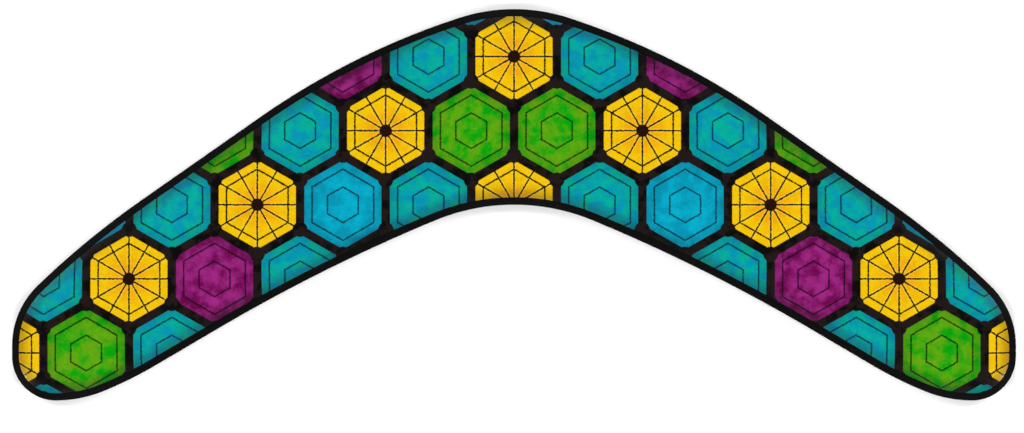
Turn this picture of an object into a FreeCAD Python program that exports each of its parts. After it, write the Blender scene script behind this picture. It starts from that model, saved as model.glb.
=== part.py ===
import FreeCAD
import Part
import math
import os
import re
from types import SimpleNamespace

import Sketcher

# A two-armed boomerang, lying on its flat underside. Millimetres. The arms spread along X, the elbow
# points to +Y, the domed printed side faces +Z, and the origin is under the middle of the bounding box.
# Twelve birch veneers make the blade, a printed film covers its top, and two black bands bind its edge.

# Driving dimensions: alias, value and meaning.
SIZES = (
    ("Span", 400.0, "tip to tip"),
    ("Depth", 156.0, "elbow to the lowest point of the arms"),
    ("ElbowChord", 78.0, "blade width on the centre line"),
    ("CrownRadius", 70.0, "outer edge over the elbow"),
    ("ShoulderRadius", 300.0, "outer edge beside the crown"),
    ("ShoulderSweep", 17.0, "degrees of that arc"),
    ("ArmRadius", 340.0, "outer edge along the arm"),
    ("ArmSweep", 9.0, "degrees of that arc"),
    ("TipRadius", 33.0, "outer corner of the tip"),
    ("TipFlat", 4.5, "straight end of the tip"),
    ("ToeRadius", 17.5, "inner corner of the tip"),
    ("HeelRadius", 50.0, "inner edge beside the toe"),
    ("UnderarmRadius", 160.0, "inner edge along the arm"),
    ("UnderarmSweep", 8.25, "degrees of that arc"),
    ("HollowRadius", 700.0, "inner edge beside the crotch"),
    ("HollowSweep", 8.0, "degrees of that arc"),
    ("CrotchRadius", 82.0, "inner edge under the elbow"),
    ("VeneerThickness", 0.5, "one birch veneer"),
    ("PrintThickness", 0.2, "printed film, measured straight up"),
    ("BandWidth", 3.0, "black edge band"),
    ("EdgeHeight", 2.2, "height of the side wall"),
    ("BevelWidth", 12.0, "domed strip along the edge, to where the top is flat"),
    ("BevelEndSlope", 3.0, "degrees, where the dome meets the flat top"),
    ("ArrisRadius", 0.7, "rounding of the band's lower corner"),
)
VENEER_COUNT = 12
CUTTER_MARGIN = 2.0  # how far a cutting tool passes outside what it cuts
NEAR = 1e-3  # two places closer than this are the same
UP = FreeCAD.Vector(0, 0, 1)
SHEET = "Sizes"
TOP_FORMULA = f"({VENEER_COUNT} * VeneerThickness + PrintThickness)"


def make_sheet(doc):
    """Writes the driving dimensions to a sheet, one aliased cell each."""
    sheet = doc.addObject("Spreadsheet::Sheet", SHEET)
    for row, (alias, value, meaning) in enumerate(SIZES, start=1):
        sheet.set(f"A{row}", alias)
        sheet.set(f"B{row}", str(value))
        sheet.set(f"C{row}", meaning)
        sheet.setAlias(f"B{row}", alias)
    doc.recompute()
    return sheet


def polar(radius, degrees):
    """A vector of the given length and direction in the XY plane."""
    angle = math.radians(degrees)
    return FreeCAD.Vector(radius * math.cos(angle), radius * math.sin(angle), 0)


def heading(vector):
    """Direction of a vector in degrees."""
    return math.degrees(math.atan2(vector.y, vector.x))


def arm_edge(root, near, far, end, bend):
    """Finds one edge of an arm: two tangent arcs from the elbow, a straight run and two arcs to the tip.

    root and end are (centre, radius) of the first and last arc, near and far are (radius, sweep) of the
    two between. The far arcs bend the near ones' way when bend is 1 and the other way when it is -1.
    Returns the straight run's slope in degrees, its length, and the centres of the near and far arcs.
    """
    root_centre, root_radius = root
    end_centre, end_radius = end
    near_radius, near_sweep = near
    far_radius, far_sweep = far
    near_turn = math.radians(near_sweep)
    far_turn = math.radians(far_sweep)
    across = (
        (root_radius - near_radius) * math.cos(near_turn)
        + near_radius
        - bend * (far_radius - (far_radius - end_radius) * math.cos(far_turn))
    )
    span = end_centre - root_centre
    along = math.sqrt(span.Length**2 - across**2)
    slope = math.degrees(math.atan2(across, along)) - heading(span)
    straight = (
        along
        + (root_radius - near_radius) * math.sin(near_turn)
        - (far_radius - end_radius) * math.sin(far_turn)
    )
    near_centre = root_centre + polar(root_radius - near_radius, 90 - slope + near_sweep)
    far_heading = 90 - slope - far_sweep if bend > 0 else -90 - slope + far_sweep
    far_centre = end_centre - polar(far_radius - end_radius, far_heading)
    return slope, straight, near_centre, far_centre


def half_outline(size):
    """The right half's arcs, from crown to crotch: name, centre, radius, and the angles it runs between.

    The first and last are the halves of the crown and the crotch, whose sweeps follow from the rest.
    """
    top = size.Depth / 2
    crown = FreeCAD.Vector(0, top - size.CrownRadius, 0)
    crotch = FreeCAD.Vector(0, top - size.ElbowChord - size.CrotchRadius, 0)
    toe = FreeCAD.Vector(size.Span / 2 - size.ToeRadius, size.ToeRadius - top, 0)
    tip = FreeCAD.Vector(size.Span / 2 - size.TipRadius, toe.y + size.TipFlat, 0)
    heel = FreeCAD.Vector(toe.x, size.HeelRadius - top, 0)
    outer, _, shoulder, arm = arm_edge(
        (crown, size.CrownRadius), (size.ShoulderRadius, size.ShoulderSweep),
        (size.ArmRadius, size.ArmSweep), (tip, size.TipRadius), 1,
    )
    inner, _, hollow, underarm = arm_edge(
        (crotch, size.CrotchRadius), (size.HollowRadius, size.HollowSweep),
        (size.UnderarmRadius, size.UnderarmSweep), (heel, size.HeelRadius), -1,
    )
    crown_end = 90 - outer + size.ShoulderSweep
    arm_end = 90 - outer - size.ArmSweep
    heel_end = size.UnderarmSweep - inner - 90
    crotch_end = 90 - inner + size.HollowSweep
    return (
        ("Crown", crown, size.CrownRadius, 90, crown_end),
        ("Shoulder", shoulder, size.ShoulderRadius, crown_end, 90 - outer),
        ("Arm", arm, size.ArmRadius, 90 - outer, arm_end),
        ("Tip", tip, size.TipRadius, arm_end, 0),
        ("Toe", toe, size.ToeRadius, 0, -90),
        ("Heel", heel, size.HeelRadius, -90, heel_end),
        ("Underarm", underarm, size.UnderarmRadius, heel_end, -90 - inner),
        ("Hollow", hollow, size.HollowRadius, 90 - inner, crotch_end),
        ("Crotch", crotch, size.CrotchRadius, crotch_end, 90),
    )


def bind(obj, prop, formula):
    """Binds a property to a formula of the sheet's sizes."""
    aliases = "|".join(alias for alias, _, _ in SIZES)
    obj.setExpression(prop, re.sub(rf"\b({aliases})\b", rf"{SHEET}.\1", formula))


class OutlineSketch:
    """The blade's edge as one closed chain of tangent arcs and lines, symmetric about the Y axis."""

    ORIGIN = (-1, 1)
    Y_AXIS = -2
    CENTRE = 3
    SWEPT = ("Shoulder", "Arm", "Underarm", "Hollow")

    def __init__(self, doc, size):
        self.sketch = doc.addObject("Sketcher::SketchObject", "blade_outline")
        arcs = half_outline(size)
        self.crown = self.middle_arc(*arcs[0], "Depth / 2 - CrownRadius")
        self.crotch = self.middle_arc(*arcs[-1], "Depth / 2 - ElbowChord - CrotchRadius")
        for side in (1, -1):
            self.half(size, arcs[1:-1], side)

    def constrain(self, kind, *places, name=None, formula=None):
        """Adds a constraint, named and bound to the sheet when it is a size."""
        index = self.sketch.addConstraint(Sketcher.Constraint(kind, *places))
        if name:
            self.sketch.renameConstraint(index, name)
            bind(self.sketch, f"Constraints.{name}", formula)

    def arc(self, centre, radius, first, last):
        """Adds an arc and returns its index and the positions of its first and last ends."""
        circle = Part.Circle(centre, UP, radius)
        low, high = sorted((math.radians(first), math.radians(last)))
        index = self.sketch.addGeometry(Part.ArcOfCircle(circle, low, high), False)
        return (index, 2, 1) if first > last else (index, 1, 2)

    def middle_arc(self, name, centre, radius, first, last, height):
        """An arc across the Y axis, with its bound radius and the bound height of its centre."""
        half = abs(first - last)
        index, _, _ = self.arc(centre, radius, 90 - half, 90 + half)
        self.constrain("PointOnObject", index, self.CENTRE, self.Y_AXIS)
        self.constrain("Radius", index, radius, name=name, formula=f"{name}Radius")
        self.constrain("DistanceY", *self.ORIGIN, index, self.CENTRE, centre.y,
                       name=f"{name}Height", formula=height)
        return index

    def line(self, start, end):
        """Adds a line and returns its index and the positions of its ends."""
        return (self.sketch.addGeometry(Part.LineSegment(start, end), False), 1, 2)

    def half(self, size, shapes, side):
        """One side's chain, from the crown round the tip to the crotch."""
        word = "Right" if side > 0 else "Left"
        arcs = {}
        ends = {}
        for name, centre, radius, *angles in shapes:
            first, last = angles if side > 0 else (180 - angle for angle in angles)
            middle = FreeCAD.Vector(side * centre.x, centre.y, 0)
            arcs[name] = self.arc(middle, radius, first, last)
            ends[name] = (middle + polar(radius, first), middle + polar(radius, last))
            self.constrain("Radius", arcs[name][0], radius, name=f"{name}{word}", formula=f"{name}Radius")
            if name in self.SWEPT:
                self.constrain("Angle", arcs[name][0], math.radians(abs(first - last)),
                               name=f"{name}Sweep{word}", formula=f"{name}Sweep * 1 deg")
        outer = self.line(ends["Shoulder"][1], ends["Arm"][0])
        flat = self.line(ends["Tip"][1], ends["Toe"][0])
        inner = self.line(ends["Underarm"][1], ends["Hollow"][0])
        elbow_end = 1 if side > 0 else 2
        chain = (
            (self.crown, None, elbow_end), arcs["Shoulder"], outer, arcs["Arm"], arcs["Tip"], flat,
            arcs["Toe"], arcs["Heel"], arcs["Underarm"], inner, arcs["Hollow"],
            (self.crotch, elbow_end, None),
        )
        for before, after in zip(chain, chain[1:]):
            self.constrain("Tangent", before[0], before[2], after[0], after[1])
        toe = (arcs["Toe"][0], self.CENTRE)
        self.constrain("Vertical", flat[0])
        self.constrain("Vertical", *toe, arcs["Heel"][0], self.CENTRE)
        self.constrain("Distance", flat[0], size.TipFlat, name=f"Flat{word}", formula="TipFlat")
        self.constrain("DistanceX", *self.ORIGIN, flat[0], 1, side * size.Span / 2,
                       name=f"Span{word}", formula=f"{side} * Span / 2")
        self.constrain("DistanceY", *self.ORIGIN, *toe, size.ToeRadius - size.Depth / 2,
                       name=f"Depth{word}", formula="ToeRadius - Depth / 2")


def top_height(size):
    """Height of the flat top above the underside."""
    return VENEER_COUNT * size.VeneerThickness + size.PrintThickness


def dome_profile(doc, size, label, drop_formula):
    """The section of a tool that takes off everything above the dome.

    It stands across the straight end of the tip, with X outwards from the blade's edge and Y up. The
    dome is one arc, which climbs inwards from the side wall and meets the flat top at a small slope,
    and a straight run carries it on past both ends. The drop lowers the whole section.
    """
    sketch = doc.addObject("Sketcher::SketchObject", f"{label}_profile")
    turn = FreeCAD.Rotation(FreeCAD.Vector(1, 0, 0), 90)
    sketch.Placement = FreeCAD.Placement(FreeCAD.Vector(), turn)
    bind(sketch, "Placement.Base.x", "Span / 2")
    bind(sketch, "Placement.Base.y", "ToeRadius - Depth / 2")
    bind(sketch, "Placement.Base.z", f"0 - {drop_formula}")
    top = top_height(size)
    climb = math.degrees(math.atan2(top - size.EdgeHeight, size.BevelWidth))
    half_sweep = climb - size.BevelEndSlope
    foot_slope = climb + half_sweep
    chord = math.hypot(size.BevelWidth, top - size.EdgeHeight)
    radius = chord / (2 * math.sin(math.radians(half_sweep)))
    foot = FreeCAD.Vector(0, size.EdgeHeight, 0)
    crest = FreeCAD.Vector(-size.BevelWidth, top, 0)
    centre = crest - polar(radius, 90 - size.BevelEndSlope)
    outside = foot + polar(CUTTER_MARGIN / math.cos(math.radians(foot_slope)), -foot_slope)
    past_crest = CUTTER_MARGIN / math.cos(math.radians(size.BevelEndSlope))
    inside = crest + polar(past_crest, 180 - size.BevelEndSlope)
    roof = top + CUTTER_MARGIN
    roof_inside = FreeCAD.Vector(inside.x, roof, 0)
    roof_outside = FreeCAD.Vector(outside.x, roof, 0)
    corners = (outside, foot, crest, inside, roof_inside, roof_outside)
    circle = Part.Circle(centre, UP, radius)
    dome = Part.ArcOfCircle(circle, math.radians(90 - foot_slope), math.radians(90 - size.BevelEndSlope))
    sketch.addGeometry(dome, False)
    for start, end in ((0, 1), (2, 3), (3, 4), (4, 5), (5, 0)):
        sketch.addGeometry(Part.LineSegment(corners[start], corners[end]), False)
    run_out, run_in, inner_wall, roof_line, outer_wall = range(1, 6)
    for rule in (
        ("Tangent", run_out, 2, 0, 1),
        ("Tangent", 0, 2, run_in, 1),
        ("Coincident", run_in, 2, inner_wall, 1),
        ("Coincident", inner_wall, 2, roof_line, 1),
        ("Coincident", roof_line, 2, outer_wall, 1),
        ("Coincident", outer_wall, 2, run_out, 1),
        ("Vertical", inner_wall),
        ("Horizontal", roof_line),
        ("Vertical", outer_wall),
        ("PointOnObject", 0, 1, -2),
    ):
        sketch.addConstraint(Sketcher.Constraint(*rule))
    for name, formula, rule in (
        ("Foot", "EdgeHeight", ("DistanceY", -1, 1, 0, 1, foot.y)),
        ("Crest", TOP_FORMULA, ("DistanceY", -1, 1, 0, 2, crest.y)),
        ("Width", "BevelWidth", ("DistanceX", 0, 2, -1, 1, -crest.x)),
        ("EndSlope", "180 deg - BevelEndSlope * 1 deg",
         ("Angle", run_in, math.radians(180 - size.BevelEndSlope))),
        ("Outside", f"{CUTTER_MARGIN}", ("DistanceX", -1, 1, run_out, 1, outside.x)),
        ("Inside", f"BevelWidth + {CUTTER_MARGIN}", ("DistanceX", run_in, 2, -1, 1, -inside.x)),
        ("Roof", f"{TOP_FORMULA} + {CUTTER_MARGIN}", ("DistanceY", -1, 1, roof_line, 1, roof)),
    ):
        index = sketch.addConstraint(Sketcher.Constraint(*rule))
        sketch.renameConstraint(index, name)
        bind(sketch, f"Constraints.{name}", formula)
    return sketch


def dome_tool(doc, size, outline, label, drop_formula="0"):
    """The tool itself: its section swept once round the outline."""
    tool = doc.addObject("Part::Sweep", f"{label}_tool")
    tool.Sections = [dome_profile(doc, size, label, drop_formula)]
    tool.Spine = (outline, [])
    tool.Solid = True
    tool.Frenet = False
    return tool


def extrude(doc, name, outline, height, base="0"):
    """A straight-walled solid on an outline, from the base height up; both are sheet formulas."""
    solid = doc.addObject("Part::Extrusion", name)
    solid.Base = outline
    solid.DirMode = "Custom"
    solid.Dir = UP
    solid.Solid = True
    bind(solid, "LengthFwd", height)
    bind(solid, "Placement.Base.z", base)
    return solid


def boolean(doc, kind, name, base, tool):
    """Part::Cut or Part::Common of two objects."""
    result = doc.addObject(f"Part::{kind}", name)
    result.Base = base
    result.Tool = tool
    result.Refine = False
    return result


def core_outline(doc, outline):
    """The blade's edge moved in by the width of the band."""
    inset = doc.addObject("Part::Offset2D", "core_outline")
    inset.Source = outline
    inset.Mode = "Pipe"
    inset.Join = "Tangent"
    bind(inset, "Value", "0 - BandWidth")
    return inset


def veneers(doc, core, tool):
    """The birch veneers from the underside up, each trimmed to the dome."""
    parts = []
    for number in range(1, VENEER_COUNT + 1):
        below = f"{number - 1} * VeneerThickness"
        blank = extrude(doc, f"veneer_blank_{number:02d}", core, "VeneerThickness", below)
        parts.append(boolean(doc, "Cut", f"ply_{number:02d}", blank, tool))
    return parts


def printed_face(doc, core, print_tool, wood_tool):
    """The printed film: the space between the veneers' dome and the finished one."""
    whole = extrude(doc, "film_blank", core, TOP_FORMULA)
    domed = boolean(doc, "Cut", "film_domed", whole, print_tool)
    wood = extrude(doc, "wood_blank", core, f"{VENEER_COUNT} * VeneerThickness")
    wood_domed = boolean(doc, "Cut", "wood_domed", wood, wood_tool)
    return boolean(doc, "Cut", "printed_face", domed, wood_domed)


def side_region(doc, size):
    """A block over the elbow's side of the blade, which parts the two bands half-way up the tips' flats."""
    sketch = doc.addObject("Sketcher::SketchObject", "outer_side_outline")
    reach = (size.Span / 2 + CUTTER_MARGIN, f"(Span / 2 + {CUTTER_MARGIN})")
    knee = (size.Span / 2 - size.ToeRadius, "(Span / 2 - ToeRadius)")
    axis = (0, "0")
    seam = (size.ToeRadius + size.TipFlat / 2 - size.Depth / 2, "(ToeRadius + TipFlat / 2 - Depth / 2)")
    middle = ((size.Depth - size.ElbowChord) / 2, "(Depth - ElbowChord) / 2")
    roof = (size.Depth / 2 + CUTTER_MARGIN, f"(Depth / 2 + {CUTTER_MARGIN})")
    corners = (
        (1, reach, seam), (1, knee, seam), (1, axis, middle), (-1, knee, seam),
        (-1, reach, seam), (-1, reach, roof), (1, reach, roof),
    )
    points = [FreeCAD.Vector(side * x[0], y[0], 0) for side, x, y in corners]
    for number, point in enumerate(points):
        sketch.addGeometry(Part.LineSegment(point, points[(number + 1) % len(points)]), False)
    for number, (side, x, y) in enumerate(corners):
        sketch.addConstraint(
            Sketcher.Constraint("Coincident", number, 2, (number + 1) % len(points), 1)
        )
        for axis_name, value, formula in (("X", side * x[0], f"{side} * {x[1]}"), ("Y", y[0], y[1])):
            rule = Sketcher.Constraint(f"Distance{axis_name}", -1, 1, number, 1, value)
            index = sketch.addConstraint(rule)
            sketch.renameConstraint(index, f"Corner{number}{axis_name}")
            bind(sketch, f"Constraints.Corner{number}{axis_name}", formula)
    return extrude(doc, "outer_side", sketch, f"{TOP_FORMULA} + 2 * {CUTTER_MARGIN}", f"0 - {CUTTER_MARGIN}")


def middle_of(edge):
    """The point half-way along an edge's parameter."""
    return edge.valueAt((edge.FirstParameter + edge.LastParameter) / 2)


def round_lower_corner(doc, size, outline, name, band):
    """Rounds a band's bottom edge where it runs along the blade's outline."""
    doc.recompute()
    fillet = doc.addObject("Part::Fillet", name)
    fillet.Base = band
    fillet.Edges = [
        (number, size.ArrisRadius, size.ArrisRadius)
        for number, edge in enumerate(band.Shape.Edges, start=1)
        if edge.BoundBox.ZMax < NEAR
        and outline.Shape.distToShape(Part.Vertex(middle_of(edge)))[0] < NEAR
    ]
    return fillet


def edge_bands(doc, size, outline, core, tool):
    """The black edge band as two strips, along the elbow's outside and its inside, butted at the tips."""
    whole = extrude(doc, "blade_blank", outline, TOP_FORMULA)
    domed = boolean(doc, "Cut", "blade_domed", whole, tool)
    height = f"{TOP_FORMULA} + 2 * {CUTTER_MARGIN}"
    inside = extrude(doc, "band_inside", core, height, f"0 - {CUTTER_MARGIN}")
    ring = boolean(doc, "Cut", "band_ring", domed, inside)
    region = side_region(doc, size)
    outer = boolean(doc, "Common", "edge_band_outer_square", ring, region)
    inner = boolean(doc, "Cut", "edge_band_inner_square", ring, region)
    return [
        round_lower_corner(doc, size, outline, "edge_band_outer", outer),
        round_lower_corner(doc, size, outline, "edge_band_inner", inner),
    ]


def build():
    """Builds the document and returns it with its sub-parts."""
    doc = FreeCAD.newDocument("Boomerang")
    sheet = make_sheet(doc)
    size = SimpleNamespace(**{alias: sheet.get(alias) for alias, _, _ in SIZES})
    outline = OutlineSketch(doc, size).sketch
    core = core_outline(doc, outline)
    print_tool = dome_tool(doc, size, outline, "print")
    wood_tool = dome_tool(doc, size, outline, "wood", "PrintThickness")
    parts = veneers(doc, core, wood_tool)
    parts.append(printed_face(doc, core, print_tool, wood_tool))
    parts += edge_bands(doc, size, outline, core, print_tool)
    for part in parts:
        part.Label = part.Name
    doc.recompute()
    return doc, parts


def check(doc, parts):
    """Stops when any object failed or any sub-part isn't one valid solid."""
    for obj in doc.Objects:
        if "Invalid" in obj.State or "Error" in obj.State:
            raise RuntimeError(f"{obj.Label}: {obj.State}")
    for part in parts:
        shape = part.Shape
        if shape.isNull() or not shape.isValid() or len(shape.Solids) != 1:
            raise RuntimeError(f"{part.Label}: not one valid solid")


def main():
    """Builds, checks and exports the sub-parts."""
    doc, parts = build()
    check(doc, parts)
    os.makedirs("parts", exist_ok=True)
    for part in parts:
        part.Shape.Solids[0].exportStep(f"parts/{part.Label}.step")
        print(f"{part.Label}: {part.Shape.Volume / 1000:.2f} cm3")


main()
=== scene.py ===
"""Looks of a printed plywood boomerang: its black edge bands, printed film and birch veneers."""

import logging
import math
from dataclasses import dataclass
from enum import Enum
from typing import Any, ClassVar, Iterable, Optional, Sequence, Union

import bmesh
import bpy
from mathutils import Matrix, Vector


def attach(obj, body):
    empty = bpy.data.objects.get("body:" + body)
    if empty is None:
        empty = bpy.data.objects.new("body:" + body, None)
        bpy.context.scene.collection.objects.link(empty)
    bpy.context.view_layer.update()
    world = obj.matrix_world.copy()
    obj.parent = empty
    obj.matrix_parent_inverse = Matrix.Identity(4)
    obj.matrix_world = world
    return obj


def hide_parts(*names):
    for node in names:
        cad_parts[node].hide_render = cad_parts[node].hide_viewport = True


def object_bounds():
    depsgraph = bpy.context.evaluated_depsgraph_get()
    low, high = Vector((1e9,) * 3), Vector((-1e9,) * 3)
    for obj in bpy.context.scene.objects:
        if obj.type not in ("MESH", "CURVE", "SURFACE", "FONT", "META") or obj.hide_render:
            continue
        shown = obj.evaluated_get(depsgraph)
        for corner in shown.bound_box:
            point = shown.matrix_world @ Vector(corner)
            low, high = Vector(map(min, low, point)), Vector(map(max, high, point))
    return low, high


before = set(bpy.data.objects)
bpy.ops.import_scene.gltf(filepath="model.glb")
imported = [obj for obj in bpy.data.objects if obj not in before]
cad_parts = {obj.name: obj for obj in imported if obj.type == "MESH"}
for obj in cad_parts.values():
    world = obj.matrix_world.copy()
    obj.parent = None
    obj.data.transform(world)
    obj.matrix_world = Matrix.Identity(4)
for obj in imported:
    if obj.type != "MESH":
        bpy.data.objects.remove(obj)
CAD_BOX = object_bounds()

LOG = logging.getLogger("boomerang")
MM = 0.001
ROOT_3 = math.sqrt(3)
DIM = 0.63
Point = tuple[float, float]
Stroke = tuple[Point, Point]
Colour = tuple[float, float, float, float]


# ---------------------------------------------------------------- shader maths


def ink(red: int, green: int, blue: int) -> Colour:
    """Turns a screen colour of 0 to 255 into a linear one, dimmed to suit the studio's bright light.

    Args:
        red: Red, from 0 to 255.
        green: Green, from 0 to 255.
        blue: Blue, from 0 to 255.

    Returns:
        The colour, with an alpha of 1.
    """

    def linear(level: int) -> float:
        """One channel, made linear and dimmed."""
        share = level / 255
        return DIM * (share / 12.92 if share <= 0.04045 else ((share + 0.055) / 1.055) ** 2.4)

    return (linear(red), linear(green), linear(blue), 1.0)


class Graph:
    """A material's node tree, to which every node is added by one method."""

    def __init__(self, name: str) -> None:
        """Starts an empty material.

        Args:
            name: The material's name.
        """
        self.material = bpy.data.materials.new(name)
        self.material.use_nodes = True
        self.tree = self.material.node_tree
        self.tree.nodes.clear()

    def node(self, kind: str, settings: Optional[dict[str, Any]] = None,
             sockets: Optional[dict[Any, Any]] = None) -> bpy.types.Node:
        """Adds a node.

        Args:
            kind: The node's type, such as ShaderNodeMath.
            settings: The node's own properties, set first.
            sockets: Values or links for its inputs, by name or number.

        Returns:
            The new node.
        """
        made = self.tree.nodes.new(kind)
        for name, value in (settings or {}).items():
            setattr(made, name, value)
        for key, value in (sockets or {}).items():
            if isinstance(value, Field):
                value = value.socket
            if isinstance(value, bpy.types.NodeSocket):
                self.tree.links.new(value, made.inputs[key])
            else:
                made.inputs[key].default_value = value
        return made

    def field(self, socket: bpy.types.NodeSocket) -> "Field":
        """Wraps a socket for use in expressions."""
        return Field(self, socket)

    def vector(self, operation: str, *values: Any, out: int = 0) -> "Field":
        """Adds a Vector Math node and returns one of its outputs."""
        made = self.node("ShaderNodeVectorMath", {"operation": operation}, dict(enumerate(values)))
        return self.field(made.outputs[out])

    def split(self, vector: "Field") -> tuple["Field", "Field", "Field"]:
        """The X, Y and Z of a vector."""
        made = self.node("ShaderNodeSeparateXYZ", {}, {0: vector})
        return tuple(self.field(output) for output in made.outputs)

    def join(self, x: Any, y: Any, z: Any = 0.0) -> "Field":
        """A vector of three numbers."""
        return self.field(self.node("ShaderNodeCombineXYZ", {}, {0: x, 1: y, 2: z}).outputs[0])

    def noise(self, where: "Field", scale: float, detail: float = 2.0, roughness: float = 0.5) -> "Field":
        """Smooth noise between 0 and 1."""
        made = self.node(
            "ShaderNodeTexNoise", {"noise_dimensions": "3D"},
            {"Vector": where, "Scale": scale, "Detail": detail, "Roughness": roughness},
        )
        return self.field(made.outputs[0])

    def step(self, value: "Field", low: float, high: float) -> "Field":
        """Smooth step from 0 at low to 1 at high; low may be the greater."""
        made = self.node(
            "ShaderNodeMapRange", {"interpolation_type": "SMOOTHSTEP"},
            {0: value, 1: low, 2: high, 3: 0.0, 4: 1.0} if low < high
            else {0: value, 1: high, 2: low, 3: 1.0, 4: 0.0},
        )
        return self.field(made.outputs[0])

    def paint(self, under: Any, over: Any, cover: Any) -> "Field":
        """Lays one colour over another where cover is 1."""
        made = self.node(
            "ShaderNodeMix", {"data_type": "RGBA", "clamp_factor": True}, {0: cover, 6: under, 7: over}
        )
        return self.field(made.outputs[2])

    def place(self) -> "Field":
        """The point on the object, in millimetres."""
        coordinates = self.node("ShaderNodeTexCoord").outputs["Object"]
        return self.scaled(coordinates, 1 / MM)

    def scaled(self, vector: Any, by: Any) -> "Field":
        """A vector times a number."""
        made = self.node("ShaderNodeVectorMath", {"operation": "SCALE"}, {0: vector, 3: by})
        return self.field(made.outputs[0])

    def finish(self, **sockets: Any) -> bpy.types.Material:
        """Adds the surface shader and the output.

        Args:
            **sockets: The shader's inputs, with an underline for each space.

        Returns:
            The finished material.
        """
        named = {name.replace("_", " "): value for name, value in sockets.items()}
        shader = self.node("ShaderNodeBsdfPrincipled", {}, named)
        self.node("ShaderNodeOutputMaterial", {}, {0: shader.outputs[0]})
        return self.material


class Field:
    """A number that changes over the surface; expressions on it add Math nodes."""

    def __init__(self, graph: Graph, socket: bpy.types.NodeSocket) -> None:
        """Keeps the graph and the socket."""
        self.graph = graph
        self.socket = socket

    def math(self, operation: str, *values: Any, clamp: bool = False) -> "Field":
        """Adds a Math node.

        Args:
            operation: The node's operation.
            *values: Its inputs, in order.
            clamp: Whether the result is held between 0 and 1.

        Returns:
            The result.
        """
        made = self.graph.node(
            "ShaderNodeMath", {"operation": operation, "use_clamp": clamp}, dict(enumerate(values))
        )
        return Field(self.graph, made.outputs[0])

    def __add__(self, other: Any) -> "Field":
        """Sum."""
        return self.math("ADD", self, other)

    __radd__ = __add__

    def __sub__(self, other: Any) -> "Field":
        """Difference."""
        return self.math("SUBTRACT", self, other)

    def __rsub__(self, other: Any) -> "Field":
        """Difference, the other way round."""
        return self.math("SUBTRACT", other, self)

    def __mul__(self, other: Any) -> "Field":
        """Product."""
        return self.math("MULTIPLY", self, other)

    __rmul__ = __mul__

    def __neg__(self) -> "Field":
        """Negative."""
        return self * -1.0

    def __abs__(self) -> "Field":
        """Size without its sign."""
        return self.math("ABSOLUTE", self)

    def least(self, other: Any) -> "Field":
        """The smaller of two."""
        return self.math("MINIMUM", self, other)

    def most(self, other: Any) -> "Field":
        """The greater of two."""
        return self.math("MAXIMUM", self, other)


class Pen:
    """Draws strokes, dots and fills in a plane of millimetres, as cover from 0 to 1."""

    SOFT = 0.13
    RAGGED = 0.35

    def __init__(self, graph: Graph, point: Field, wobble: Field) -> None:
        """Keeps the plane's point and splits it.

        Args:
            graph: The material's node tree.
            point: The point in the plane, in millimetres, with a Z of 0.
            wobble: A small number that makes strokes thick and thin by turns.
        """
        self.graph = graph
        self.point = point
        self.wobble = wobble
        self.ragged = wobble * self.RAGGED
        self.u, self.v, _ = graph.split(point)

    def line(self, start: Point, end: Point) -> Field:
        """Distance from a straight stroke."""
        along = (end[0] - start[0], end[1] - start[1])
        square = along[0] ** 2 + along[1] ** 2
        away = self.graph.vector("SUBTRACT", self.point, (*start, 0.0))
        share = self.graph.vector("DOT_PRODUCT", away, (along[0] / square, along[1] / square, 0.0), out=1)
        held = share.math("MULTIPLY", share, 1.0, clamp=True)
        return self.graph.vector("DISTANCE", away, self.graph.scaled((*along, 0.0), held), out=1)

    def dot(self, centre: Point) -> Field:
        """Distance from a point."""
        return self.graph.vector("DISTANCE", self.point, (*centre, 0.0), out=1)

    def near(self, strokes: Iterable[Stroke]) -> Field:
        """Distance from the nearest of some strokes, each given by its two ends."""
        nearest = None
        for start, end in strokes:
            distance = self.line(start, end)
            nearest = distance if nearest is None else nearest.least(distance)
        return nearest

    def cover(self, distance: Field, width: float) -> Field:
        """Cover of a stroke or dot of this half width, a little uneven."""
        return self.graph.step(distance + self.wobble, width + self.SOFT, width - self.SOFT)

    def fill(self, distance: Field) -> Field:
        """Cover of the inside of a shape, with a slightly uneven edge."""
        return self.graph.step(distance + self.ragged, self.SOFT, -self.SOFT)


# -------------------------------------------------------------------- finishes


class Grain(Enum):
    """Which way a veneer's grain runs."""

    ALONG = "along"
    ACROSS = "across"


@dataclass(frozen=True)
class Birch:
    """Rotary-cut birch veneer, sanded and sealed with clear lacquer."""

    grain: Grain
    pale: Colour = ink(232, 208, 168)
    warm: Colour = ink(206, 170, 118)
    pore: Colour = ink(150, 108, 64)

    def material(self) -> bpy.types.Material:
        """Builds the veneer's material."""
        graph = Graph(f"birch_{self.grain.value}")
        place = graph.place()
        slow = (0.03, 0.35, 0.35) if self.grain is Grain.ALONG else (0.35, 0.03, 0.35)
        drawn = graph.vector("MULTIPLY", place, slow)
        figure = graph.noise(drawn, 1.0, 3.0, 0.6)
        streak = graph.noise(drawn, 9.0, 3.0, 0.65)
        fine = graph.vector("MULTIPLY", drawn, (4.0, 4.0, 4.0))
        fleck = graph.step(graph.noise(fine, 7.0, 1.0), 0.66, 0.74)
        tone = graph.step(figure * 0.6 + streak * 0.4, 0.36, 0.64)
        colour = graph.paint(self.pale, self.warm, tone)
        colour = graph.paint(colour, self.pore, fleck * 0.55)
        rough = 0.34 + streak * 0.16 + fleck * 0.1
        bump = graph.node(
            "ShaderNodeBump", {}, {"Strength": 0.25, "Distance": 0.0001, "Height": streak - fleck * 0.8}
        )
        return graph.finish(
            Base_Color=colour, Roughness=rough, Normal=bump.outputs[0], Coat_Weight=0.35, Coat_Roughness=0.22
        )


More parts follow.
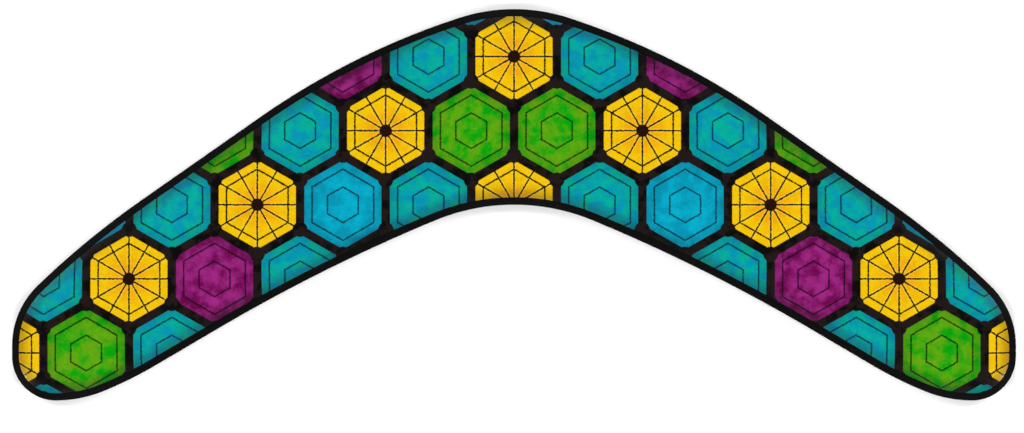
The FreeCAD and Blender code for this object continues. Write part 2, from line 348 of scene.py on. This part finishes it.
@dataclass(frozen=True)
class SatinBlack:
    """Black edge sealer, rubbed down to a satin and a little worn along its nose."""

    black: Colour = ink(5, 5, 5)
    dusty: Colour = ink(13, 12, 12)
    worn: Colour = ink(52, 47, 42)
    nose_height: float = 2.2

    def material(self) -> bpy.types.Material:
        """Builds the edge's material."""
        graph = Graph("satin_black")
        place = graph.place()
        _, _, z = graph.split(place)
        cloud = graph.noise(place, 0.18, 3.0, 0.6)
        rubbed = graph.noise(graph.vector("MULTIPLY", place, (1.0, 1.0, 0.25)), 2.6, 4.0, 0.7)
        chips = graph.step(graph.noise(place, 1.3, 3.0, 0.7), 0.66, 0.74)
        nose = graph.step(abs(z - self.nose_height), 0.7, 0.1)
        colour = graph.paint(self.black, self.dusty, graph.step(cloud, 0.45, 0.75) * 0.6)
        colour = graph.paint(colour, self.worn, nose * chips * 0.5)
        rough = 0.44 + rubbed * 0.2
        bump = graph.node("ShaderNodeBump", {}, {"Strength": 0.22, "Distance": 0.00006, "Height": rubbed})
        return graph.finish(
            Base_Color=colour, Roughness=rough, Normal=bump.outputs[0], Specular_IOR_Level=0.025
        )


@dataclass(frozen=True)
class FloorPaint:
    """Matt white studio floor with the faintest mottle."""

    white: Colour = (0.95, 0.95, 0.95, 1.0)
    shade: Colour = (0.92, 0.92, 0.92, 1.0)

    def material(self) -> bpy.types.Material:
        """Builds the floor's material."""
        graph = Graph("studio_floor")
        cloud = graph.noise(graph.place(), 0.02, 3.0)
        colour = graph.paint(self.white, self.shade, cloud)
        return graph.finish(Base_Color=colour, Roughness=0.9 - cloud * 0.1, Specular_IOR_Level=0.1)


@dataclass(frozen=True)
class GlassPrint:
    """A print of leaded glass in a plain honeycomb, under clear gloss lacquer.

    The panes are equal regular hexagons in straight rows, the same on both arms. Their colours take
    turns: yellow, blue-green, then an accent that changes from row to row. Sizes are in millimetres,
    and outline is the share of the way from a pane's centre to its side.
    """

    pitch: float = 34.0
    lead: float = 1.7
    solder: float = 3.0
    outline: float = 0.72
    jewel: float = 2.2
    stroke: float = 0.32
    colours: float = 3.0
    edge_shade: float = 0.25
    # Painted shade towards the rim: how dark it gets, and how far in from the edge it starts and is full.
    painted_rim_shade: float = 0.45
    rim_clear: float = 9.0
    rim_dark: float = 3.0
    yellow: Colour = ink(255, 206, 4)
    orange: Colour = ink(255, 168, 0)
    halo: Colour = ink(255, 226, 70)
    teal: Colour = ink(0, 182, 160)
    sea: Colour = ink(0, 156, 188)
    cyan: Colour = ink(0, 182, 214)
    green: Colour = ink(0, 172, 8)
    lime: Colour = ink(104, 176, 14)
    plum: Colour = ink(116, 2, 84)
    pink: Colour = ink(166, 40, 136)
    brown: Colour = ink(33, 24, 22)
    black: Colour = ink(8, 5, 6)
    pen_warm: Colour = ink(36, 14, 4)

    def material(self) -> bpy.types.Material:
        """Builds the print's material."""
        graph = Graph("glass_print")
        place = graph.place()
        x, y, _ = graph.split(place)
        grain = graph.noise(place, 1.5, 2.0)
        wobble = grain * 0.8 - 0.4
        cloud = graph.noise(place, 0.2, 3.0, 0.6)
        local, centre = self.cell(graph, graph.join(abs(x), y))
        pen = Pen(graph, self.folded(graph, local), wobble)
        glass = self.turns(graph, pen, centre, cloud)
        came = graph.paint(self.black, self.brown, graph.step(cloud, 0.4, 0.55))
        colour = graph.paint(glass, came, self.leading(pen))
        return self.lacquered(graph, place, colour, grain)

    def cell(self, graph: Graph, point: Field) -> tuple[Field, Field]:
        """Finds the pane that a point is in.

        A honeycomb is two rectangular grids, the second set half a step on, so the nearer of the two
        grids' centres is the pane's.

        Args:
            graph: The material's node tree.
            point: The point on the blade, in millimetres, with a Z of 0.

        Returns:
            The point from its pane's centre, and that centre.
        """
        high = (self.pitch / 2, self.pitch * ROOT_3 / 2, 1.0)
        low = (-high[0], -high[1], -1.0)
        first = graph.vector("WRAP", point, high, low)
        second = graph.vector("WRAP", graph.vector("SUBTRACT", point, (*high[:2], 0.0)), high, low)
        reach = graph.vector("LENGTH", first, out=1)
        other = graph.vector("LENGTH", second, out=1)
        nearer = other.math("LESS_THAN", other, reach)
        change = graph.scaled(graph.vector("SUBTRACT", second, first), nearer)
        local = graph.vector("ADD", first, change)
        return local, graph.vector("SUBTRACT", point, local)

    @staticmethod
    def folded(graph: Graph, local: Field) -> Field:
        """Folds a pane into a twelfth of itself: X square to a side, Y along it, both positive."""
        quarter = graph.vector("ABSOLUTE", local)
        above = graph.vector("DOT_PRODUCT", quarter, (-0.5, ROOT_3 / 2, 0.0), out=1).most(0.0)
        back = graph.scaled((1.0, -ROOT_3, 0.0), above)
        return graph.vector("ABSOLUTE", graph.vector("ADD", quarter, back))

    def turns(self, graph: Graph, pen: Pen, centre: Field, cloud: Field) -> Field:
        """Gives each pane its colour, in turn.

        Args:
            graph: The material's node tree.
            pen: A pen in the folded pane.
            centre: The pane's centre.
            cloud: Soft noise that mottles the ink.

        Returns:
            The glass's colour.
        """
        turn = graph.vector("DOT_PRODUCT", centre, (1 / self.pitch, -ROOT_3 / self.pitch, 0.0), out=1)
        turn = turn.math("WRAP", turn + 0.5, self.colours, 0.0)
        row = graph.vector("DOT_PRODUCT", centre, (0.0, 2 / (ROOT_3 * self.pitch), 0.0), out=1)
        row = row.math("WRAP", row + 0.5, self.colours, 0.0)
        mottle = graph.step(cloud, 0.35, 0.65)
        blue = self.plain(graph, pen, graph.paint(self.teal, self.sea, mottle))
        accent = graph.paint(self.cyan, self.sea, mottle)
        accent = graph.paint(accent, graph.paint(self.green, self.lime, mottle), self.come(graph, row, 1))
        accent = graph.paint(accent, graph.paint(self.plum, self.pink, mottle), self.come(graph, row, 2))
        glass = graph.paint(self.rayed(graph, pen, cloud), blue, self.come(graph, turn, 1))
        return graph.paint(glass, self.plain(graph, pen, accent), self.come(graph, turn, 2))

    @staticmethod
    def come(graph: Graph, turn: Field, number: int) -> Field:
        """Whether the turns have come to this number, as 0 or 1."""
        return graph.step(turn, number - 0.1, number + 0.1)

    def rayed(self, graph: Graph, pen: Pen, cloud: Field) -> Field:
        """A yellow pane with twelve even rays from a jewel in its middle."""
        side = self.pitch / 2
        rays = pen.near([((0.0, 0.0), (side, 0.0)), ((0.0, 0.0), (side, side / ROOT_3))])
        sun = graph.paint(self.yellow, self.orange, graph.step(pen.u + cloud * 6, 15.0, 6.0) * 0.85)
        sun = graph.paint(sun, self.halo, graph.step(rays, 1.1, 0.4) * 0.5)
        marks = rays.least(pen.dot((0.0, 0.0)) - self.jewel).least(abs(pen.u - side * self.outline))
        return graph.paint(sun, self.pen_warm, pen.cover(marks, self.stroke))

    def plain(self, graph: Graph, pen: Pen, glass: Any) -> Field:
        """A pane of one colour, darker towards its edge, with two outlines inside it."""
        side = self.pitch / 2
        glass = graph.paint(glass, self.black, graph.step(pen.u, side * 0.5, side) * self.edge_shade)
        outlines = abs(pen.u - side * self.outline).least(abs(pen.u - side * self.outline / 2))
        return graph.paint(glass, self.black, pen.cover(outlines, self.stroke) * 0.85)

    def leading(self, pen: Pen) -> Field:
        """Cover of the dark came between panes, with a blob of solder where three of them meet."""
        side = self.pitch / 2
        edge = (side - self.lead) - pen.u
        blob = pen.dot((side, side / ROOT_3)) - self.solder
        return pen.fill(edge.least(blob))

    def lacquered(self, graph: Graph, place: Field, colour: Field, grain: Field) -> bpy.types.Material:
        """Paints shade onto the print, darker towards its rim, and seals it with lacquer.

        Args:
            graph: The material's node tree.
            place: The point on the object, in millimetres.
            colour: The ink's colour.
            grain: Fine noise.

        Returns:
            The finished material.
        """
        # Painted shade: the print is darkened over the last millimetres in towards the bands, standing in
        # for the shade of the domed rim.
        rim = graph.field(graph.node("ShaderNodeAttribute", {"attribute_name": "edge_mm"}).outputs["Fac"])
        shade = graph.step(rim, self.rim_clear, self.rim_dark) * self.painted_rim_shade
        colour = graph.paint(colour, self.black, shade)
        colour = graph.paint(colour, self.black, graph.step(grain, 0.3, 0.8) * 0.1)
        blot = graph.step(graph.noise(place, 0.42, 3.0, 0.65), 0.42, 0.66)
        colour = graph.paint(colour, self.black, blot * 0.1)
        peel = graph.noise(place, 0.55, 2.0)
        hair = graph.noise(graph.vector("MULTIPLY", place, (0.06, 1.6, 1.0)), 2.2, 2.0, 0.6)
        scratch = graph.step(hair, 0.66, 0.7)
        bump = graph.node(
            "ShaderNodeBump", {}, {"Strength": 0.12, "Distance": 0.00008, "Height": peel - scratch * 0.5}
        )
        return graph.finish(
            Base_Color=colour, Roughness=0.3 + peel * 0.08 + scratch * 0.12, Normal=bump.outputs[0],
            Specular_IOR_Level=0.06, Coat_Weight=0.5, Coat_Roughness=0.09,
        )


# --------------------------------------------------------------------- outline


class Side(Enum):
    """The two edges of the blade."""

    OUTER = "outer"
    INNER = "inner"


def polar(length: float, degrees: float) -> Vector:
    """A step of this length at this angle from +X."""
    angle = math.radians(degrees)
    return Vector((math.cos(angle), math.sin(angle))) * length


@dataclass(frozen=True)
class Turn:
    """A move of the section round a centre; degrees are counter-clockwise from above."""

    centre: Vector
    radius: float
    degrees: float
    face_degrees: ClassVar[float] = 4.0
    face_length: ClassVar[float] = 3.0

    def mirrored(self) -> "Turn":
        """The same move met on the way on, past the blade's middle."""
        return Turn(Vector((-self.centre.x, self.centre.y)), self.radius, self.degrees)

    def backwards(self) -> "Turn":
        """The same move the other way."""
        return Turn(self.centre, self.radius, -self.degrees)

    def steps(self) -> int:
        """How many faces it takes, none over the greatest turn or the greatest length in millimetres."""
        turn = abs(self.degrees)
        return math.ceil(max(turn / self.face_degrees, math.radians(turn) * self.radius / self.face_length))


@dataclass(frozen=True)
class Run:
    """A straight move of the section."""

    step: Vector

    def mirrored(self) -> "Run":
        """The same move met on the way on, past the blade's middle."""
        return Run(Vector((self.step.x, -self.step.y)))

    def backwards(self) -> "Run":
        """The same move the other way."""
        return Run(-self.step)


Move = Union[Turn, Run]


@dataclass
class BladeOutline:
    """The blade's outline in arcs and straights, in millimetres, from its span and depth."""

    span: float
    depth: float
    elbow_chord: float = 78.0
    crown_radius: float = 70.0
    shoulder: Point = (300.0, 17.0)
    arm: Point = (340.0, 9.0)
    tip_radius: float = 33.0
    tip_flat: float = 4.5
    toe_radius: float = 17.5
    heel_radius: float = 50.0
    underarm: Point = (160.0, 8.25)
    hollow: Point = (700.0, 8.0)
    crotch_radius: float = 82.0

    def toe_centre(self) -> Vector:
        """The centre of the arc at the end of an arm."""
        return Vector((self.span / 2 - self.toe_radius, self.toe_radius - self.depth / 2))

    def seam(self) -> Point:
        """Where the two bands meet, halfway down the flat of the right tip."""
        return self.span / 2, self.toe_centre().y + self.tip_flat / 2

    def half(self, side: Side) -> list[Move]:
        """The moves from the right tip's seam to the blade's middle.

        Args:
            side: Which edge to follow.

        Returns:
            The moves, in order.
        """
        toe = self.toe_centre()
        if side is Side.OUTER:
            root = (Vector((0.0, self.depth / 2 - self.crown_radius)), self.crown_radius)
            end = (Vector((self.span / 2 - self.tip_radius, toe.y + self.tip_flat)), self.tip_radius)
            return [Run(Vector((0.0, self.tip_flat / 2))), *self.edge(end, self.arm, self.shoulder, root, 1)]
        root = (
            Vector((0.0, self.depth / 2 - self.elbow_chord - self.crotch_radius)), self.crotch_radius
        )
        end = (Vector((toe.x, self.heel_radius - self.depth / 2)), self.heel_radius)
        return [
            Run(Vector((0.0, -self.tip_flat / 2))),
            Turn(toe, self.toe_radius, -90.0),
            *self.edge(end, self.underarm, self.hollow, root, -1),
        ]

    @staticmethod
    def edge(end: tuple[Vector, float], far: Point, near: Point, root: tuple[Vector, float],
             bend: int) -> list[Move]:
        """The moves along one edge of an arm.

        Args:
            end: Centre and radius of the arc that it starts from.
            far: Radius and sweep of the next arc.
            near: Radius and sweep of the arc beyond the straight.
            root: Centre and radius of the arc at the blade's middle.
            bend: 1 where the far arc bends the same way as the near one, -1 where it bends back.

        Returns:
            The moves, in order.
        """
        (end_centre, end_radius), (root_centre, root_radius) = end, root
        (far_radius, far_sweep), (near_radius, near_sweep) = far, near
        far_gap, near_gap = far_radius - end_radius, root_radius - near_radius
        far_turn, near_turn = math.radians(far_sweep), math.radians(near_sweep)
        across = near_gap * math.cos(near_turn) + near_radius
        across -= bend * (far_radius - far_gap * math.cos(far_turn))
        reach = end_centre - root_centre
        along = math.sqrt(reach.length**2 - across**2)
        slope = math.degrees(math.atan2(across, along) - math.atan2(reach.y, reach.x))
        straight = along + near_gap * math.sin(near_turn) - far_gap * math.sin(far_turn)
        near_centre = root_centre + polar(near_gap, 90 - slope + near_sweep)
        end_turn = 90 - slope - far_sweep if bend > 0 else far_sweep - slope
        far_centre = end_centre - polar(far_gap, end_turn if bend > 0 else end_turn - 90)
        return [
            Turn(end_centre, end_radius, end_turn),
            Turn(far_centre, far_radius, bend * far_sweep),
            Run(polar(straight, 180 - slope)),
            Turn(near_centre, near_radius, near_sweep),
            Turn(root_centre, root_radius, slope - near_sweep),
        ]

    def path(self, side: Side) -> list[Move]:
        """The moves from the right tip's seam to the left one's, along one edge."""
        half = self.half(side)
        return half + [move.mirrored() for move in reversed(half)]

    def round_trip(self) -> list[Move]:
        """The moves right round the blade, counter-clockwise from the right tip's seam."""
        return self.path(Side.OUTER) + [move.backwards() for move in reversed(self.path(Side.INNER))]


@dataclass
class RimSection:
    """The finished blade's section near its edge, in millimetres in from the edge and up."""

    top: float
    edge_height: float = 2.2
    bevel_width: float = 12.0
    end_slope: float = 3.0
    band_width: float = 3.0
    arris: float = 0.7

    def dome(self) -> tuple[float, float, float]:
        """The dome's arc: how far in its centre is, how high, and its radius."""
        climb = math.degrees(math.atan2(self.top - self.edge_height, self.bevel_width))
        chord = math.hypot(self.bevel_width, self.top - self.edge_height)
        radius = chord / 2 / math.sin(math.radians(climb - self.end_slope))
        slope = math.radians(self.end_slope)
        return (
            self.bevel_width + radius * math.sin(slope), self.top - radius * math.cos(slope), radius
        )

    def height(self, inset: float) -> float:
        """The dome's height at a distance in from the edge."""
        centre, level, radius = self.dome()
        return level + math.sqrt(radius**2 - (centre - inset) ** 2)

    def inset(self, height: float) -> float:
        """How far in from the edge the dome reaches a height."""
        centre, level, radius = self.dome()
        return centre - math.sqrt(max(radius**2 - (height - level) ** 2, 0.0))

    def film(self, rings: int) -> list[Point]:
        """The film's section, from the band to the flat."""
        wide = self.bevel_width - self.band_width
        insets = [self.band_width + wide * ring / rings for ring in range(rings + 1)]
        return [(inset, self.height(inset)) for inset in insets]

    def band(self, nose: float, chamfer: float) -> list[Point]:
        """The band's section, from the top of its joint with the film round to the bottom of it.

        Args:
            nose: Radius of the rounding where the dome meets the side.
            chamfer: Width of the break along its joint with the film.

        Returns:
            The corners, in order.
        """
        wide = self.band_width
        insets = [wide - chamfer, wide * 0.75, wide * 0.5, wide * 0.3, nose]
        corners = [(wide, self.height(wide) - chamfer)] + [(inset, self.height(inset)) for inset in insets]
        shoulder = self.height(nose)
        drop = shoulder - self.edge_height + nose
        for degrees in (30, 60, 90):
            angle = math.radians(degrees)
            corners.append((nose * (1 - math.sin(angle)), shoulder - drop * (1 - math.cos(angle))))
        for degrees in (0, 22.5, 45, 67.5, 90):
            angle = math.radians(degrees)
            corners.append((self.arris * (1 - math.cos(angle)), self.arris * (1 - math.sin(angle))))
        return corners + [(wide, 0.0)]


# ---------------------------------------------------------------------- pieces


class SweptMesh:
    """A mesh drawn as a section and swept in edit mode."""

    MERGE = 2e-6

    def __init__(self, name: str, section: Sequence[Point], start: Point) -> None:
        """Draws the section, standing across the blade's edge.

        Args:
            name: The piece's name.
            section: How far in from the edge and how high each corner is, in millimetres.
            start: The place of the edge where the sweep starts, in millimetres.
        """
        bpy.ops.object.select_all(action="DESELECT")
        places = [Vector(((start[0] - inset) * MM, start[1] * MM, height * MM)) for inset, height in section]
        bpy.ops.mesh.primitive_plane_add(size=MM, location=places[0])
        self.piece = bpy.context.object
        self.piece.name = self.piece.data.name = name
        bpy.ops.object.transform_apply(location=True, rotation=True, scale=True)
        bpy.ops.object.mode_set(mode="EDIT")
        bpy.ops.mesh.select_mode(type="VERT")
        bpy.ops.mesh.merge(type="CENTER")
        for place, following in zip(places, places[1:]):
            self.extrude(following - place)

    @staticmethod
    def extrude(step: Vector) -> None:
        """Extrudes what is selected by a step in metres."""
        bpy.ops.mesh.extrude_region_move(TRANSFORM_OT_translate={"value": tuple(step)})

    def select(self, wanted: Any) -> None:
        """Selects the vertices for which a test of their place holds, and the faces between them."""
        bpy.ops.mesh.select_all(action="DESELECT")
        mesh = bmesh.from_edit_mesh(self.piece.data)
        for vertex in mesh.verts:
            vertex.select_set(bool(wanted(vertex.co)))
        mesh.select_flush(True)
        bmesh.update_edit_mesh(self.piece.data)

    def sweep(self, moves: Iterable[Move]) -> None:
        """Carries the section along.

        Args:
            moves: The turns and straights, in order.
        """
        bpy.ops.mesh.select_all(action="SELECT")
        for move in moves:
            if isinstance(move, Run):
                self.extrude(move.step.to_3d() * MM)
            else:
                bpy.ops.mesh.spin(
                    steps=move.steps(), angle=-math.radians(move.degrees),
                    center=move.centre.to_3d() * MM, axis=(0.0, 0.0, 1.0),
                )

    def merge(self) -> None:
        """Merges doubles and turns every face outwards."""
        bpy.ops.mesh.select_all(action="SELECT")
        bpy.ops.mesh.remove_doubles(threshold=self.MERGE)
        bpy.ops.mesh.normals_make_consistent(inside=False)

    def modify(self, kind: str, **settings: Any) -> None:
        """Adds a modifier and applies it."""
        modifier = self.piece.modifiers.new(kind.lower(), kind)
        for name, value in settings.items():
            setattr(modifier, name, value)
        bpy.ops.object.modifier_apply(modifier=modifier.name)

    def done(self, smooth: float) -> bpy.types.Object:
        """Leaves edit mode and smooths the faces that meet at less than an angle in degrees."""
        if self.piece.mode == "EDIT":
            bpy.ops.object.mode_set(mode="OBJECT")
        bpy.ops.object.shade_smooth_by_angle(angle=math.radians(smooth))
        return self.piece


def settle(piece: bpy.types.Object, node: str, material: bpy.types.Material) -> None:
    """Puts a new piece in place of a CAD node and gives it its finish.

    Args:
        piece: The new piece.
        node: The CAD node that it stands for.
        material: The finish.
    """
    piece.data.materials.append(material)
    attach(piece, "root")
    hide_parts(node)
    LOG.info("%s: %d faces, in place of %s", piece.name, len(piece.data.polygons), node)


@dataclass
class PrintedFilm:
    """The printed film that covers the dome inside the bands."""

    outline: BladeOutline
    section: RimSection
    thickness: float = 0.2
    rings: int = 9

    def build(self) -> bpy.types.Object:
        """Sweeps the dome right round, closes its flat, and gives the film its thickness."""
        swept = SweptMesh("film", self.section.film(self.rings), self.outline.seam())
        swept.sweep(self.outline.round_trip())
        swept.merge()
        flat = (self.section.top - 0.001) * MM
        swept.select(lambda place: place.z > flat)
        bpy.ops.mesh.edge_face_add()
        bpy.ops.mesh.inset(thickness=0.6 * MM)
        swept.merge()
        bpy.ops.object.mode_set(mode="OBJECT")
        if sum(face.normal.z * face.area for face in swept.piece.data.polygons) < 0:
            bpy.ops.object.mode_set(mode="EDIT")
            bpy.ops.mesh.flip_normals()
            bpy.ops.object.mode_set(mode="OBJECT")
        self.measure(swept.piece.data)
        swept.modify("SOLIDIFY", thickness=self.thickness * MM, offset=-1.0, use_even_offset=True)
        return swept.done(smooth=40.0)

    def measure(self, mesh: bpy.types.Mesh) -> None:
        """Stores each vertex's distance in from the blade's edge, in millimetres."""
        layer = mesh.attributes.new("edge_mm", "FLOAT", "POINT")
        layer.data.foreach_set("value", [self.section.inset(vertex.co.z / MM) for vertex in mesh.vertices])

    def dress(self, piece: bpy.types.Object) -> None:
        """Prints and lacquers the film."""
        settle(piece, "printed_face", GlassPrint().material())


@dataclass
class EdgeBand:
    """A band round one edge of the blade, from seam to seam."""

    outline: BladeOutline
    section: RimSection
    side: Side
    nose: float = 0.35
    chamfer: float = 0.1
    seam_break: float = 0.12

    def build(self) -> bpy.types.Object:
        """Sweeps the band's section from one seam to the other and caps its ends."""
        corners = self.section.band(self.nose, self.chamfer)
        swept = SweptMesh(f"band_{self.side.value}", [*corners, corners[0]], self.outline.seam())
        swept.sweep(self.outline.path(self.side))
        swept.merge()
        seam = self.outline.seam()[1] * MM
        for way in (1, -1):
            swept.select(lambda place: abs(place.y - seam) < 1e-6 and place.x * way > 0)
            bpy.ops.mesh.edge_face_add()
        swept.merge()
        swept.select(lambda place: abs(place.y - seam) < 1e-6)
        bpy.ops.mesh.bevel(offset=self.seam_break * MM, segments=2, affect="EDGES")
        swept.merge()
        return swept.done(smooth=35.0)

    def dress(self, piece: bpy.types.Object, material: bpy.types.Material) -> None:
        """Seals the band in satin black."""
        settle(piece, f"edge_band_{self.side.value}", material)


@dataclass
class VeneerStack:
    """The twelve crossed veneers, which keep their CAD shapes."""

    count: int = 12

    def dress(self) -> None:
        """Gives each veneer birch, with the grain of each across its neighbours'."""
        finishes = [Birch(Grain.ALONG).material(), Birch(Grain.ACROSS).material()]
        for number in range(1, self.count + 1):
            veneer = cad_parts[f"ply_{number:02d}"]
            material = finishes[(number + 1) % 2]
            for slot in veneer.material_slots:
                slot.material = material
            LOG.info("%s: %s", veneer.name, material.name)


# ---------------------------------------------------------------------- studio


@dataclass
class Studio:
    """A plain white floor, soft lights all round, and a camera straight above."""

    lens: float = 135.0
    sensor: float = 36.0
    view_width: float = 0.40797
    view_centre: Point = (-0.0008, -0.00467)
    view_level: float = 0.002
    light_ring: float = 2.5
    light_height: float = 1.0
    light_size: float = 1.0
    light_power: float = 50.0
    light_count: int = 6
    glow: float = 0.07
    floor_radius: float = 7.0
    floor_drop: float = 0.0003

    def floor(self) -> None:
        """Lays a large round floor just under the blade."""
        bpy.ops.object.select_all(action="DESELECT")
        bpy.ops.mesh.primitive_circle_add(
            vertices=96, radius=self.floor_radius, fill_type="NGON", location=(0.0, 0.0, -self.floor_drop)
        )
        floor = bpy.context.object
        floor.name = floor.data.name = "studio_floor"
        bpy.ops.object.transform_apply(location=True, rotation=True, scale=True)
        bpy.ops.object.mode_set(mode="EDIT")
        bpy.ops.mesh.select_all(action="SELECT")
        bpy.ops.mesh.inset(thickness=0.5)
        bpy.ops.object.mode_set(mode="OBJECT")
        floor.data.materials.append(FloorPaint().material())

    def lights(self) -> None:
        """Sets soft boxes evenly in a ring, with a dim even glow behind them."""
        gap = 360 / self.light_count
        for number in range(self.light_count):
            lamp = bpy.data.lights.new(f"soft_box_{number + 1}", "AREA")
            lamp.shape = "DISK"
            lamp.size = self.light_size
            lamp.energy = self.light_power
            box = bpy.data.objects.new(lamp.name, lamp)
            place = polar(self.light_ring, gap / 2 + gap * number).to_3d()
            place.z = self.light_height
            box.location = place
            box.rotation_euler = (-place).to_track_quat("-Z", "Y").to_euler()
            bpy.context.scene.collection.objects.link(box)
        world = bpy.data.worlds.new("studio")
        world.use_nodes = True
        back = world.node_tree.nodes["Background"]
        back.inputs[0].default_value = (1.0, 1.0, 1.0, 1.0)
        back.inputs[1].default_value = self.glow
        bpy.context.scene.world = world

    def camera(self) -> None:
        """Hangs the camera straight above the blade."""
        data = bpy.data.cameras.new("camera")
        data.lens = self.lens
        data.sensor_width = self.sensor
        data.clip_end = 50.0
        camera = bpy.data.objects.new("camera", data)
        height = self.view_width * self.lens / self.sensor
        camera.location = (*self.view_centre, self.view_level + height)
        bpy.context.scene.collection.objects.link(camera)
        bpy.context.scene.camera = camera

    def build(self) -> None:
        """Sets up the floor, lights, camera and plain colours."""
        self.camera()
        self.floor()
        self.lights()
        bpy.context.scene.view_settings.view_transform = "Standard"
        LOG.info("studio: floor, soft boxes and camera")


def main() -> None:
    """Builds and dresses every piece in order."""
    logging.basicConfig(level=logging.INFO, format="%(name)s %(message)s")
    low, high = CAD_BOX
    outline = BladeOutline(span=(high[0] - low[0]) / MM, depth=(high[1] - low[1]) / MM)
    section = RimSection(top=high[2] / MM)
    Studio().build()
    VeneerStack().dress()
    film = PrintedFilm(outline, section)
    film.dress(film.build())
    black = SatinBlack(nose_height=section.edge_height).material()
    for side in Side:
        band = EdgeBand(outline, section, side)
        band.dress(band.build(), black)


if __name__ == "__main__":
    main()
